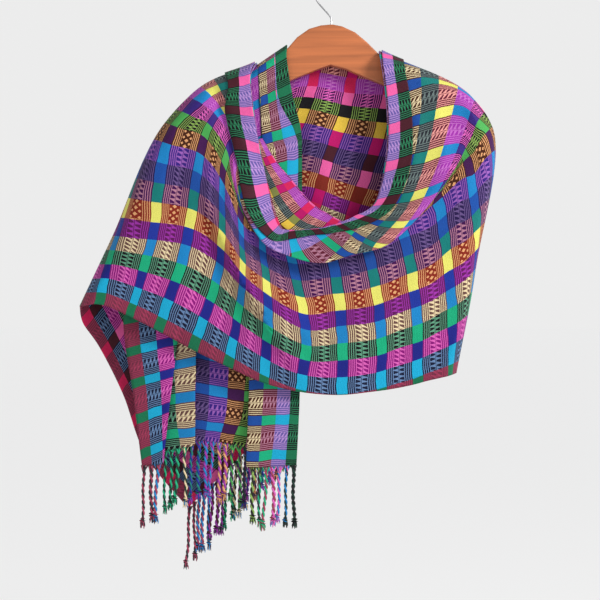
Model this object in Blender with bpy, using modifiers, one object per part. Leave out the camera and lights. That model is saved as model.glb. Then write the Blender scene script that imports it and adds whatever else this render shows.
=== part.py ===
"""Handwoven shawl with twisted fringe, wound once round a flat wooden hanger on a wire hook.

The origin is the inside top of the hook, +X points right and +Z up in the front view, and the
front faces -Y. Each stretch of cloth is a thin wall through sections given in short tables. Their
across and down columns count steps of a measuring grid on the front view, and sheets are lofted
smoothly through the sections. Depths are in millimetres, positive towards the back.
"""
import math

import bmesh
import bpy
import numpy as np

# Driving sizes in metres
GRID_STEP = 0.00139
GRID_CENTRE_X = -0.0445
GRID_CENTRE_Z = -0.4573
EYE_DISTANCE = 2.05
GRID_MIDDLE = 300.0
MILLIMETRE = 0.001
WALL = 0.0018
SEAM_GAP = 0.0006
SILHOUETTE_ROUND = 0.018
ARM_ROUND = 0.011
BOARD_THICKNESS = 0.014
BOARD_CHAMFER = 0.002
WIRE_RADIUS = 0.0011
HOOK_RADIUS = 0.0246
STRIP_HEIGHT = 0.004
STRAND_COUNT = 23
STRAND_LENGTH = 0.080
STRAND_WIDTH = 0.0040
STRAND_SWAY = 0.0022
ROOT_OVERLAP = 0.0012
LAST_STRAND = 0.985
# Share of the length and of the width at each ring of a strand: root, cord, knot, neck, tuft, end.
STRAND_RINGS = ((0.0, 0.9), (0.79, 1.0), (0.86, 1.6), (0.90, 1.1), (0.97, 1.4), (1.0, 0.8))

# Front wrap: sections from the left arm round the cowl to the right arm.
# Stations: neck edge, cowl crest, tuck under it, where the cloth comes out again, middle, hem.
FRONT_STATIONS = (0.0, 0.30, 0.35, 0.40, 0.70, 1.0)
FRONT_DEPTHS = (-27.0, -31.0, -33.0, -34.0, -38.0, -33.0)
RIDGE_DEPTHS = (0.0, -20.0, -5.0, -3.0, 0.0, 0.0)
RIDGE_LIFT = 6.0
FRONT_SECTIONS = (
    # ridge, neck x z, crest x z, out x z, middle x z, hem x z
    (0.0, 257, 63, 189, 97, 166, 122, 113, 236, 80, 306),
    (0.0, 251, 77, 203, 104, 183, 128, 133, 238, 106, 306),
    (0.0, 254, 112, 213, 118, 205, 136, 186, 245, 158, 331),
    (0.1, 260, 149, 229, 149, 224, 165, 220, 264, 193, 350),
    (0.4, 269, 189, 244, 208, 241, 211, 242, 286, 228, 367),
    (0.8, 280, 226, 262, 240, 262, 241, 268, 308, 264, 383),
    (1.0, 292, 231, 288, 253, 290, 253, 306, 330, 301, 392),
    (1.0, 306, 230, 322, 261, 325, 261, 341, 326, 338, 395),
    (1.0, 327, 227, 353, 253, 357, 253, 375, 322, 370, 392),
    (0.9, 351, 218, 390, 242, 393, 241, 401, 312, 392, 389),
    (0.7, 374, 204, 426, 208, 430, 207, 427, 303, 412, 385),
    (0.4, 384, 168, 455, 166, 460, 169, 444, 293, 427, 381),
    (0.1, 387, 130, 466, 131, 474, 150, 459, 284, 440, 378),
    (0.0, 385, 92, 471, 109, 483, 134, 467, 278, 448, 376),
    (0.0, 379, 51, 474, 100, 491, 125, 475.5, 268, 456, 373),
)
# Share of each section, from the neck edge, that the turned-over band covers.
BAND_SHARES = (
    0.14, 0.15, 0.19, 0.24, 0.26, 0.17, 0.085, 0.05, 0.06, 0.08, 0.10, 0.098, 0.087, 0.078, 0.07,
)
BAND_START = 0.006

# Back panel: sections from the right arm to the left arm, behind the board.
# Stations: upper edge, two on the way, middle, hem. The first section is the front wrap's last.
BACK_STATIONS = (0.0, 0.28, 0.38, 0.70, 1.0)
BACK_DEPTH = 16.0
BACK_WAVE = 0.16
BACK_SECTIONS = (
    # upper x z, second x z, third x z, middle x z, hem x z
    (379, 51, 474, 100, 491, 125, 475.5, 268, 456, 373),
    (378, 58, 452, 104, 470, 133, 460, 264, 441, 366),
    (368, 50, 410, 96, 420, 125, 425, 240, 412, 352),
    (350, 44, 351, 93, 352, 118, 355, 218, 360, 325),
    (312, 41, 312, 86, 309, 108, 316, 203, 318, 300),
    (288, 51, 270, 88, 264, 104, 262, 185, 262, 262),
    (287, 45, 262, 62, 252, 69, 215, 94, 176, 121),
)

# First end: sections from the left arm down to the fringed hem, in overlapping knife pleats. The
# hidden stations lie inside the pleats. Columns: across at nine places from the neck edge to the
# free edge, then down at both edges, the depth, and the size of the pleats (0 flat, 1 full).
END_STATIONS = (0.0, 0.05, 0.10, 0.20, 0.30, 0.40, 0.58, 0.63, 0.68, 0.82, 0.86, 0.90, 1.0)
END_TUCKS = (0.0, 0.0, 0.0, 0.0, 5.0, 0.0, -5.5, -4.0, 0.0, -4.0, -2.0, 0.0, 0.0)
END_DEPTHS = (0.0, -1.0, -2.0, -1.5, 4.5, 8.0, 8.0, 4.5, -1.0, 6.0, 3.5, -1.0, 3.0)
FIRST_END_SECTIONS = (
    # x at stripe 0, 1, 2, 4, middle pleat, 12, left pleat, last pleat, 20, then z at 0, z at 20,
    # depth, pleats
    (287, 275.5, 275, 258, 236, 214, 199, 190, 176, 45, 121, -11.5, 0.0),
    (287, 275.5, 275, 259, 236, 213, 198, 189, 173, 60, 128, -11.5, 0.1),
    (292.5, 279, 277, 261, 236, 211, 196, 186, 167, 95, 150, -12.0, 0.2),
    (301, 295, 283, 263, 237, 209, 196, 183, 160, 130, 175, -12.5, 0.3),
    (302, 298.5, 287.5, 266, 240, 207, 196, 180, 152, 165, 200, -13.0, 0.4),
    (302, 294, 281, 253, 248, 196, 196, 180, 124, 300, 306, -17.0, 1.0),
    (299.6, 290.5, 277.5, 250, 247, 195, 195, 169.5, 134, 400, 400, -18.0, 1.0),
    (296.5, 285.5, 271, 247, 245.5, 195, 194.7, 163, 142, 465, 466, -15.0, 1.0),
)
HEM_RISES = (0.0, 1.0, 2.0, 1.5, -10.0, -18.0, -25.0, -24.0, -21.0, -12.0, -8.0, -3.0, 0.0)

# Second end: sections from the left silhouette round behind, down to the slanting fringed hem.
SECOND_STATIONS = (0.0, 0.28, 0.38, 0.72, 1.0)
SECOND_DEPTH = 28.0
SECOND_WAVE = 0.14
SECOND_SECTIONS = (
    # upper x z, second x z, third x z, fourth x z, free edge x z
    (257, 63, 189, 97, 166, 122, 113, 236, 80, 306),
    (262, 100, 212, 134, 188, 160, 124, 262, 83, 323),
    (270, 150, 226, 190, 205, 215, 139, 305, 100, 348),
    (280, 220, 244, 262, 226, 284, 163, 360, 123, 394),
    (292, 305, 266, 343, 250, 362, 195, 425, 146, 456),
    (302, 396, 286, 412, 279, 419, 246, 451, 188, 508),
)

# Inner fold: sections along the neck, from its ridge to its hidden lower edge.
FOLD_SECTIONS = (
    # ridge x z, lower x z
    (262, 138, 252, 142),
    (276, 161, 256, 168),
    (291, 179, 262, 190),
    (301, 191, 270, 210),
    (313, 204, 284, 228),
    (327, 213, 303, 236),
    (342, 221, 328, 236),
    (358, 223, 350, 233),
)
FOLD_DEPTHS = (-16.5, -19.5, -21.5)

# Largest folds: a bow through three places, with height and width in millimetres and how much
# sharper its left side is.
FRONT_FOLDS = (
    # start x z, middle x z, end x z, height, width, left sharpness
    (206, 196, 236, 270, 288, 356, 12.0, 42.0, 3.0),
    (474, 205, 410, 292, 300, 350, 4.0, 26.0, 1.0),
    (462, 300, 405, 345, 335, 374, 3.0, 22.0, 1.0),
    (166, 150, 152, 215, 118, 292, 4.0, 24.0, 1.0),
    (195, 130, 190, 225, 160, 320, 3.0, 22.0, 1.5),
    (480, 120, 470, 200, 455, 290, 3.0, 16.0, 1.0),
)
BACK_FOLDS = (
    (478, 110, 440, 190, 360, 300, 3.0, 16.0, 2.0),
    (470, 220, 420, 270, 350, 315, 2.4, 14.0, 1.0),
    (350, 50, 345, 120, 330, 230, 2.6, 15.0, 1.0),
)
SECOND_FOLDS = (
    (236, 100, 190, 220, 168, 360, 3.2, 17.0, 1.0),
    (255, 110, 240, 230, 226, 400, 2.6, 14.0, 1.5),
    (150, 190, 128, 260, 118, 350, 2.4, 13.0, 1.0),
)

# Board outline in grid steps, clockwise from the left arm's tip.
BOARD_TOP = (
    (183, 122), (192, 114), (215, 97.2), (245, 77), (270, 60), (288, 48.5), (297, 38), (309, 29.5),
    (321, 26), (332, 25), (342, 27), (355, 33), (367, 43), (378, 54), (400, 65), (428, 79),
    (452, 91), (472, 103), (484, 118),
)
BOARD_UNDERSIDE = (
    (482, 129), (473, 126), (440, 110), (410, 97), (382, 85), (365, 78), (345, 69.5), (330, 65.7),
    (315, 71), (300, 77), (288, 82), (262, 92), (230, 107), (200, 124), (188, 131), (184, 131),
)

COLOURS = {
    "hanger_board": ((0.60, 0.22, 0.10), 0.45, 0.0),
    "hanger_hook": ((0.42, 0.42, 0.42), 0.35, 1.0),
    "shawl_back_panel": ((0.55, 0.10, 0.25), 0.85, 0.0),
    "shawl_front_wrap": ((0.25, 0.12, 0.42), 0.85, 0.0),
    "shawl_collar_band": ((0.42, 0.16, 0.38), 0.85, 0.0),
    "shawl_inner_fold": ((0.60, 0.25, 0.30), 0.85, 0.0),
    "shawl_first_end": ((0.10, 0.35, 0.40), 0.85, 0.0),
    "shawl_second_end": ((0.45, 0.05, 0.20), 0.85, 0.0),
    "fringe_first_end": ((0.25, 0.15, 0.35), 0.85, 0.0),
    "fringe_second_end": ((0.40, 0.06, 0.20), 0.85, 0.0),
}


def place(across, down, depth):
    """World points of grid places at a depth, as the eye in front of the grid sees them."""
    across = np.asarray(across, dtype=float)
    down = np.asarray(down, dtype=float)
    depth = np.asarray(depth, dtype=float)
    nearness = (EYE_DISTANCE + depth) / EYE_DISTANCE
    x = GRID_CENTRE_X + (across - GRID_MIDDLE) * GRID_STEP * nearness
    z = GRID_CENTRE_Z - (down - GRID_MIDDLE) * GRID_STEP * nearness
    return np.stack([x, depth + 0.0 * x, z], axis=-1)


def smooth_curve(knots, values, samples):
    """Values at samples on a smooth curve through values at knots (cubic, mean slopes)."""
    knots = np.asarray(knots, dtype=float)
    values = np.asarray(values, dtype=float)
    samples = np.asarray(samples, dtype=float)
    slopes = np.empty_like(values)
    spans = np.diff(knots).reshape((-1,) + (1,) * (values.ndim - 1))
    steps = np.diff(values, axis=0) / spans
    slopes[0] = steps[0]
    slopes[-1] = steps[-1]
    slopes[1:-1] = (steps[:-1] * spans[1:] + steps[1:] * spans[:-1]) / (spans[1:] + spans[:-1])
    index = np.clip(np.searchsorted(knots, samples, side="right") - 1, 0, len(knots) - 2)
    span = knots[index + 1] - knots[index]
    part = (samples - knots[index]) / span
    shape = (-1,) + (1,) * (values.ndim - 1)
    part = part.reshape(shape)
    span = span.reshape(shape)
    start = (1 + 2 * part) * (1 - part) ** 2 * values[index]
    start_slope = part * (1 - part) ** 2 * span * slopes[index]
    end = part ** 2 * (3 - 2 * part) * values[index + 1]
    end_slope = part ** 2 * (part - 1) * span * slopes[index + 1]
    return start + start_slope + end + end_slope


def spread(section_count, per_section, end_steps=5):
    """Sample places along the sections, closer together at both ends, where cloth turns."""
    inner = [0.0]
    for step in range(1, end_steps + 1):
        inner.append((step / end_steps) ** 2)
    middle = np.linspace(1.0, section_count - 2.0, (section_count - 3) * per_section + 1)[1:-1]
    last = [section_count - 1.0 - value for value in reversed(inner)]
    return np.array(inner + list(middle) + last)


def turn(distance, radius):
    """0 at a silhouette, 1 once the cloth has turned a quarter round with this radius."""
    part = 1.0 - np.clip(np.asarray(distance) / radius, 0.0, 1.0)
    return np.sqrt(np.maximum(0.0, 1.0 - part ** 2))


def loft(sections, stations, along, across):
    """Grid places (along, across, columns) through a table of sections."""
    lengthwise = smooth_curve(stations, np.swapaxes(sections, 0, 1), across)
    return smooth_curve(np.arange(len(sections)), np.swapaxes(lengthwise, 0, 1), along)


def fold_height(across, down, folds):
    """Height in metres of the soft folds at grid places."""
    total = np.zeros_like(across)
    for x0, z0, x1, z1, x2, z2, height, width, sharpness in folds:
        share = np.linspace(0.0, 1.0, 24)
        control_x = 2 * x1 - 0.5 * (x0 + x2)
        control_z = 2 * z1 - 0.5 * (z0 + z2)
        path_x = (1 - share) ** 2 * x0 + 2 * share * (1 - share) * control_x + share ** 2 * x2
        path_z = (1 - share) ** 2 * z0 + 2 * share * (1 - share) * control_z + share ** 2 * z2
        away_x = across[..., None] - path_x
        away_z = down[..., None] - path_z
        distances = np.hypot(away_x, away_z)
        nearest = np.argmin(distances, axis=-1)[..., None]
        distance = np.take_along_axis(distances, nearest, axis=-1)[..., 0]
        side = np.take_along_axis(away_x, nearest, axis=-1)[..., 0]
        taper = np.sin(np.pi * np.clip(share[nearest[..., 0]] * 0.9 + 0.05, 0.0, 1.0)) ** 0.7
        reach = np.where(side < 0.0, width / sharpness, width) * MILLIMETRE / GRID_STEP
        total += height * MILLIMETRE * taper * np.exp(-(distance / reach) ** 2)
    return total


def front_surface(along, across):
    """Points of the front wrap's middle surface."""
    table = np.array(FRONT_SECTIONS, dtype=float)
    ridge = table[:, 0]
    neck, crest, out, middle, hem = (table[:, 1 + 2 * i:3 + 2 * i] for i in range(5))
    tuck = 0.5 * (crest + out)
    tuck[:, 1] -= RIDGE_LIFT * ridge
    stations = np.stack([neck, crest, tuck, out, middle, hem], axis=1)
    depth = np.array(FRONT_DEPTHS) + ridge[:, None] * np.array(RIDGE_DEPTHS)
    sections = np.concatenate([stations, depth[..., None]], axis=-1)
    grid = loft(sections, FRONT_STATIONS, along, across)
    left = loft(sections[:1].repeat(2, axis=0), FRONT_STATIONS, np.zeros(1), across)[0]
    right = loft(sections[-1:].repeat(2, axis=0), FRONT_STATIONS, np.zeros(1), across)[0]
    from_left = np.hypot(grid[..., 0] - left[:, 0], grid[..., 1] - left[:, 1]) * GRID_STEP
    from_right = np.hypot(grid[..., 0] - right[:, 0], grid[..., 1] - right[:, 1]) * GRID_STEP
    turned = turn(from_left, SILHOUETTE_ROUND) * turn(from_right, SILHOUETTE_ROUND)
    folds = fold_height(grid[..., 0], grid[..., 1], FRONT_FOLDS)
    depth = (grid[..., 2] * MILLIMETRE - folds) * turned - 0.5 * SEAM_GAP
    return place(grid[..., 0], grid[..., 1], depth)


def back_surface(along, across):
    """Points of the back panel's middle surface, from the right silhouette to the left arm."""
    table = np.array(BACK_SECTIONS, dtype=float).reshape(len(BACK_SECTIONS), -1, 2)
    grid = loft(table, BACK_STATIONS, along, across)
    right = loft(table[:1].repeat(2, axis=0), BACK_STATIONS, np.zeros(1), across)[0]
    left = loft(table[-1:].repeat(2, axis=0), BACK_STATIONS, np.zeros(1), across)[0]
    from_right = np.hypot(grid[..., 0] - right[:, 0], grid[..., 1] - right[:, 1]) * GRID_STEP
    from_left = np.hypot(grid[..., 0] - left[:, 0], grid[..., 1] - left[:, 1]) * GRID_STEP
    wave = BACK_WAVE * np.sin(grid[..., 0] * 0.052) * np.sin(np.pi * np.clip(across, 0.0, 1.0) * 0.6)
    folds = fold_height(grid[..., 0], grid[..., 1], BACK_FOLDS)
    depth = BACK_DEPTH * MILLIMETRE * (1.0 + wave) + folds
    depth = depth * turn(from_right, SILHOUETTE_ROUND) * turn(from_left, ARM_ROUND)
    return place(grid[..., 0], grid[..., 1], depth + 0.5 * SEAM_GAP)


def first_end_surface(along, across):
    """Points of the first end's middle surface, from the arm down to the hem."""
    sections = []
    for row_index, row in enumerate(FIRST_END_SECTIONS):
        x0, x1, x2, x4, middle, x12, left, last, x20, z0, z20, depth, pleats = row
        places = (x0, x1, x2, x4, x4, middle, x12, left, left, last, last, last, x20)
        hem = 1.0 if row_index == len(FIRST_END_SECTIONS) - 1 else 0.0
        section = []
        for station, x, tuck, dip, rise in zip(END_STATIONS, places, END_TUCKS, END_DEPTHS, HEM_RISES):
            share = (x0 - x) / (x0 - x20)
            z = z0 + (z20 - z0) * share + rise * hem
            section.append((x + tuck * pleats, z, depth + dip * pleats))
        sections.append(section)
    sections = np.array(sections)
    grid = loft(sections, END_STATIONS, along, across)
    arm = loft(sections[:1].repeat(2, axis=0), END_STATIONS, np.zeros(1), across)[0]
    from_arm = np.hypot(grid[..., 0] - arm[:, 0], grid[..., 1] - arm[:, 1]) * GRID_STEP
    depth = grid[..., 2] * MILLIMETRE * turn(from_arm, ARM_ROUND)
    return place(grid[..., 0], grid[..., 1], depth - 0.5 * SEAM_GAP)


def second_end_surface(along, across):
    """Points of the second end's middle surface, from the left silhouette down to its hem."""
    table = np.array(SECOND_SECTIONS, dtype=float).reshape(len(SECOND_SECTIONS), -1, 2)
    grid = loft(table, SECOND_STATIONS, along, across)
    left = loft(table[:1].repeat(2, axis=0), SECOND_STATIONS, np.zeros(1), across)[0]
    from_left = np.hypot(grid[..., 0] - left[:, 0], grid[..., 1] - left[:, 1]) * GRID_STEP
    wave = SECOND_WAVE * np.sin(grid[..., 0] * 0.07 + grid[..., 1] * 0.02)
    folds = fold_height(grid[..., 0], grid[..., 1], SECOND_FOLDS)
    depth = (SECOND_DEPTH * MILLIMETRE * (1.0 + wave) + folds) * turn(from_left, SILHOUETTE_ROUND)
    return place(grid[..., 0], grid[..., 1], depth + 0.5 * SEAM_GAP)


def inner_fold_surface(along, across):
    """Points of the inner fold's middle surface, from its ridge to its hidden edge."""
    table = np.array(FOLD_SECTIONS, dtype=float)
    ridge = table[:, 0:2]
    lower = table[:, 2:4]
    middle = 0.5 * (ridge + lower)
    sections = np.stack([ridge, middle, lower], axis=1)
    grid = loft(sections, (0.0, 0.5, 1.0), along, across)
    depth = smooth_curve((0.0, 0.5, 1.0), FOLD_DEPTHS, across) * MILLIMETRE
    return place(grid[..., 0], grid[..., 1], np.broadcast_to(depth, grid.shape[:2]))


def surface_normals(points):
    """Unit normals of a net of points."""
    along = np.gradient(points, axis=0)
    across = np.gradient(points, axis=1)
    normals = np.cross(along, across)
    length = np.linalg.norm(normals, axis=-1, keepdims=True)
    return normals / np.maximum(length, 1e-12)


def collar_surface(along, rows=7):
    """Points of the turned-over band, made from the front wrap's points and moved out."""
    shares = smooth_curve(np.arange(len(BAND_SHARES)), BAND_SHARES, along)
    lift = WALL + 2.0 * SEAM_GAP
    points = np.empty((len(along), rows, 3))
    last = len(FRONT_SECTIONS) - 1.0
    for index, share in enumerate(shares):
        nearby = np.clip(along[index] + np.array([-0.02, 0.0, 0.02]), 0.0, last)
        net = front_surface(nearby, np.linspace(BAND_START, share, rows))
        points[index] = net[1]
        normal = surface_normals(net)[1]
        normal *= np.where(normal[:, 1:2] > 0.0, -1.0, 1.0)
        points[index] += normal * lift
    return points


def material(name):
    """Principled material of a node."""
    colour, roughness, metallic = COLOURS[name]
    made = bpy.data.materials.new(name)
    made.use_nodes = True
    shader = made.node_tree.nodes["Principled BSDF"]
    shader.inputs["Base Color"].default_value = (*colour, 1.0)
    shader.inputs["Roughness"].default_value = roughness
    shader.inputs["Metallic"].default_value = metallic
    made.diffuse_color = (*colour, 1.0)
    return made


def add_object(name, data, collection):
    """Link a mesh or curve as a named node with its material."""
    made = bpy.data.objects.new(name, data)
    data.materials.append(material(name))
    collection.objects.link(made)
    return made


def net_mesh(name, points):
    """Mesh of a net of points, from a grid primitive whose points are then placed."""
    count_along, count_across = points.shape[:2]
    net = bmesh.new()
    bmesh.ops.create_grid(net, x_segments=count_across - 1, y_segments=count_along - 1, size=1.0)
    net.verts.ensure_lookup_table()
    for index, vertex in enumerate(net.verts):
        vertex.co = points[index // count_across, index % count_across]
    mesh = bpy.data.meshes.new(name)
    net.to_mesh(mesh)
    net.free()
    mesh.shade_smooth()
    return mesh


def cloth(name, points, collection):
    """A cloth node: an open net given its wall by Solidify."""
    made = add_object(name, net_mesh(name, points), collection)
    wall = made.modifiers.new("Wall", "SOLIDIFY")
    wall.thickness = WALL
    wall.offset = 0.0
    return made


def strand_mesh(net, root, lean, length, twist):
    """One four-sided strand: root, cord, knot and tuft, added to a bmesh."""
    rings = []
    for share, width in STRAND_RINGS:
        radius = 0.5 * STRAND_WIDTH * width
        made = bmesh.ops.create_circle(net, cap_ends=False, segments=4, radius=radius)
        ring = made["verts"]
        for vertex in ring:
            angle = twist + share * 2.0
            x, y = vertex.co.x, vertex.co.y
            vertex.co.x = root[0] + x * math.cos(angle) - y * math.sin(angle) + lean[0] * share
            vertex.co.y = root[1] + x * math.sin(angle) + y * math.cos(angle) + lean[1] * share
            vertex.co.z = root[2] - share * length
        rings.append(ring)
    for upper, lower in zip(rings[:-1], rings[1:]):
        for corner in range(4):
            following = (corner + 1) % 4
            net.faces.new((upper[corner], lower[corner], lower[following], upper[following]))
    net.faces.new(rings[0])
    net.faces.new(list(reversed(rings[-1])))


def open_hem(hem):
    """The hem's points without those that lie back inside a tuck, held below each tuck."""
    kept = [0]
    for index in range(1, len(hem)):
        if hem[index][0] < hem[kept[-1]][0] - 0.001:
            kept.append(index)
    points = hem[kept].copy()
    for place_index, index in enumerate(kept):
        before = kept[max(place_index - 2, 0)]
        after = kept[min(place_index + 2, len(kept) - 1)]
        if after - before > 4:
            points[place_index, 2] = hem[before:after + 1, 2].min()
    return points


def fringe(name, hem, seed, first_strand, collection, cutters):
    """Strip along a hem, parted from it, with its strands joined to it by a union. The first
    strand's place is a share of the hem, and the seed shifts the strands' lengths and sway."""
    hem = open_hem(hem)
    upper = hem.copy()
    upper[:, 2] -= SEAM_GAP
    lower = upper.copy()
    lower[:, 2] -= STRIP_HEIGHT
    strip = cloth(name, np.stack([upper, lower], axis=1), collection)
    distance = hem[0, 0] - hem[:, 0]
    places = np.linspace(first_strand, LAST_STRAND, STRAND_COUNT) * distance[-1]
    net = bmesh.new()
    for index, value in enumerate(places):
        root = [float(np.interp(value, distance, lower[:, axis])) for axis in range(3)]
        root[2] += ROOT_OVERLAP
        lean = (STRAND_SWAY * (math.sin(index * 2.4 + seed) - 1.0), STRAND_SWAY * math.cos(index * 1.3))
        length = STRAND_LENGTH * (1.0 + 0.06 * math.sin(index * 1.7 + seed))
        strand_mesh(net, root, lean, length, index * 0.5)
    bmesh.ops.recalc_face_normals(net, faces=net.faces)
    mesh = bpy.data.meshes.new(name + "_strands")
    net.to_mesh(mesh)
    net.free()
    strands = bpy.data.objects.new(name + "_strands", mesh)
    cutters.objects.link(strands)
    strands.hide_render = True
    strands.display_type = "WIRE"
    union = strip.modifiers.new("Strands", "BOOLEAN")
    union.operation = "UNION"
    union.solver = "EXACT"
    union.object = strands
    return strip


def hanger_board(collection):
    """Flat board: the outline as a filled curve with its thickness and a chamfered edge."""
    outline = bpy.data.curves.new("hanger_board", "CURVE")
    outline.dimensions = "2D"
    outline.fill_mode = "BOTH"
    outline.extrude = 0.5 * BOARD_THICKNESS - BOARD_CHAMFER
    outline.bevel_depth = BOARD_CHAMFER
    outline.bevel_resolution = 1
    outline.offset = -BOARD_CHAMFER
    corners = BOARD_TOP + BOARD_UNDERSIDE
    path = outline.splines.new("POLY")
    path.points.add(len(corners) - 1)
    path.use_cyclic_u = True
    for point, (across, down) in zip(path.points, corners):
        x, _, z = place(across, down, 0.0)
        point.co = (x, z, 0.0, 1.0)
    made = add_object("hanger_board", outline, collection)
    made.rotation_euler = (math.radians(90.0), 0.0, 0.0)
    return made


def hanger_hook(collection):
    """Wire hook: up from the board's arch, then round over the rod it hangs on."""
    centre_z = -HOOK_RADIUS + WIRE_RADIUS
    shank = [(331.5, 24.7), (331, 18), (329, 15), (324, 9.5), (319, 4), (316.5, 0)]
    points = []
    for across, down in shank:
        x, _, z = place(across, down, 0.0)
        points.append((float(x), float(z)))
    for step in range(13):
        angle = math.radians(205.0 - 19.0 * step)
        points.append((HOOK_RADIUS * math.cos(angle), centre_z + HOOK_RADIUS * math.sin(angle)))
    wire = bpy.data.curves.new("hanger_hook", "CURVE")
    wire.dimensions = "3D"
    wire.bevel_depth = WIRE_RADIUS
    wire.bevel_resolution = 2
    wire.use_fill_caps = True
    path = wire.splines.new("POLY")
    path.points.add(len(points) - 1)
    for point, (x, z) in zip(path.points, points):
        point.co = (x, 0.0, z, 1.0)
    return add_object("hanger_hook", wire, collection)


def main():
    for old in list(bpy.data.objects):
        bpy.data.objects.remove(old)
    collection = bpy.data.collections.new("shawl_on_hanger")
    cutters = bpy.data.collections.new("cutters")
    bpy.context.scene.collection.children.link(collection)
    bpy.context.scene.collection.children.link(cutters)

    hanger_board(collection)
    hanger_hook(collection)

    front_along = spread(len(FRONT_SECTIONS), 2)
    front_across = np.concatenate([np.linspace(0.0, 0.27, 6), np.linspace(0.295, 0.41, 8),
                                   np.linspace(0.47, 1.0, 9)])
    cloth("shawl_front_wrap", front_surface(front_along, front_across), collection)
    cloth("shawl_collar_band", collar_surface(front_along), collection)

    back_along = spread(len(BACK_SECTIONS), 4)
    cloth("shawl_back_panel", back_surface(back_along, np.linspace(0.0, 1.0, 14)), collection)

    end_along = np.concatenate([np.linspace(0.0, 1.0, 6) ** 2, np.linspace(1.4, 7.0, 15)])
    end_across = np.concatenate([np.linspace(0.0, 0.18, 5), np.linspace(0.20, 0.42, 8),
                                 np.linspace(0.48, 0.54, 2), np.linspace(0.56, 0.70, 8),
                                 np.linspace(0.76, 0.92, 8), [1.0]])
    first_end = first_end_surface(end_along, end_across)
    cloth("shawl_first_end", first_end, collection)

    second_along = np.concatenate([np.linspace(0.0, 0.9, 6) ** 2, np.linspace(1.0, 5.0, 15)])
    second_end = second_end_surface(second_along, np.linspace(0.0, 1.0, 17))
    cloth("shawl_second_end", second_end, collection)

    fold_along = np.linspace(0.0, len(FOLD_SECTIONS) - 1.0, 22)
    inner_fold = inner_fold_surface(fold_along, np.linspace(0.0, 1.0, 5))
    cloth("shawl_inner_fold", inner_fold, collection)

    fringe("fringe_first_end", first_end[-1], 1, 0.02, collection, cutters)
    fringe("fringe_second_end", second_end[-1], 2, 0.06, collection, cutters)


main()
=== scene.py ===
"""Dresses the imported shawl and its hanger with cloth, weave, fringe, wood, wire, light and camera.

Places on the cloth are steps of a measuring grid on the front view: across counts to the right
and down counts downwards. Depths are millimetres, negative towards the viewer. On the cloth,
"turn" counts repeats of the weave along its length and "stripe" counts stripes from the neck edge.
"""

import math

import bmesh
import bpy
import numpy as np
from bpy.props import FloatProperty, FloatVectorProperty, IntProperty, PointerProperty
from bpy.types import Operator, Panel, PropertyGroup
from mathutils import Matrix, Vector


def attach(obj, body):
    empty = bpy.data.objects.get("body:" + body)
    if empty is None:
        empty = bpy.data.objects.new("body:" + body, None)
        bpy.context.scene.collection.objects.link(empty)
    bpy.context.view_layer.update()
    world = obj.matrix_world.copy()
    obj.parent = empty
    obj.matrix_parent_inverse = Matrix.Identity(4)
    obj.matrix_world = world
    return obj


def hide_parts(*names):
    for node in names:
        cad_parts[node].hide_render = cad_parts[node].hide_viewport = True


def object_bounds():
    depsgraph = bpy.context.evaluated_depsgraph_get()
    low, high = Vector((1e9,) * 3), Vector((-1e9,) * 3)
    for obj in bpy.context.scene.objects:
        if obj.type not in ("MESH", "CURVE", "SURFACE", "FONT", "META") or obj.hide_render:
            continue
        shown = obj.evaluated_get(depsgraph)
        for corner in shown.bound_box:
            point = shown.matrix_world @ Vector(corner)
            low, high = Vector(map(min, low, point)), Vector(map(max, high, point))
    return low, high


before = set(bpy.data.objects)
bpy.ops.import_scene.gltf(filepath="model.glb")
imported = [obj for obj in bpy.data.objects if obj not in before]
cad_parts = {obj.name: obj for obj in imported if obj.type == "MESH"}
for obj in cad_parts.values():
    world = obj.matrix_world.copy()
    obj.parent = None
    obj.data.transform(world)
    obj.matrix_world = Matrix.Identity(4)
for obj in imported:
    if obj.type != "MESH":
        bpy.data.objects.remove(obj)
CAD_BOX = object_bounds()

bl_info = {
    "name": "Shawl on a Wooden Hanger",
    "version": (1, 0, 0),
    "blender": (4, 5, 0),
    "location": "View3D > Sidebar > Shawl",
    "description": "Builds a striped handwoven shawl with twisted fringe, wound on a wooden hanger",
    "category": "Object",
}

# The measuring grid: its step, the world place of its middle and the eye before it in metres, and
# the count of steps at its middle
GRID_STEP = 0.00139
GRID_CENTRE_X = -0.0445
GRID_CENTRE_Z = -0.4573
EYE_DISTANCE = 2.05
GRID_MIDDLE = 300.0

# Lengths in metres: gap at a seam, rounding where cloth turns to the back, one repeat of the weave,
# and the floor's reach and how far it lies below the fringe
MILLIMETRE = 0.001
SEAM_GAP = 0.0006
SILHOUETTE_ROUND = 0.018
ARM_ROUND = 0.011
TURN_LENGTH = 0.052
FLOOR_HALF = 30.0
FLOOR_DROP = 0.25
WHITE = (1.0, 1.0, 1.0, 1.0)

# How the nets are made: the square of the shortest chord that paces the weave, how much net lines
# crowd at the ends, points along a fold, and the pace of one pucker for each repeat
SHORTEST_CHORD = 4.0
END_CROWDING = 1.7
FOLD_POINTS = 24
WEAVE_WAVE = 6.283

# The weave, in parts of a turn or of a stripe: the solid blocks, the weft lines, the rows of marks
# and the slow drift of both.
BLOCK_HALF = 0.137
LINE_SPACING = 0.0538
LINE_GAP = 0.62
MARKS_START = 0.345
MARKS_PER_STRIPE = 4.0
LEAN = 0.25
MORE_LEAN = 0.55
BAR_HALF = 0.42
BAR_TAPER = 0.28
LOZENGE_HALF = 0.64
LOZENGE_ROWS = (9, 13)
UNEVENNESS = 0.07

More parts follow.
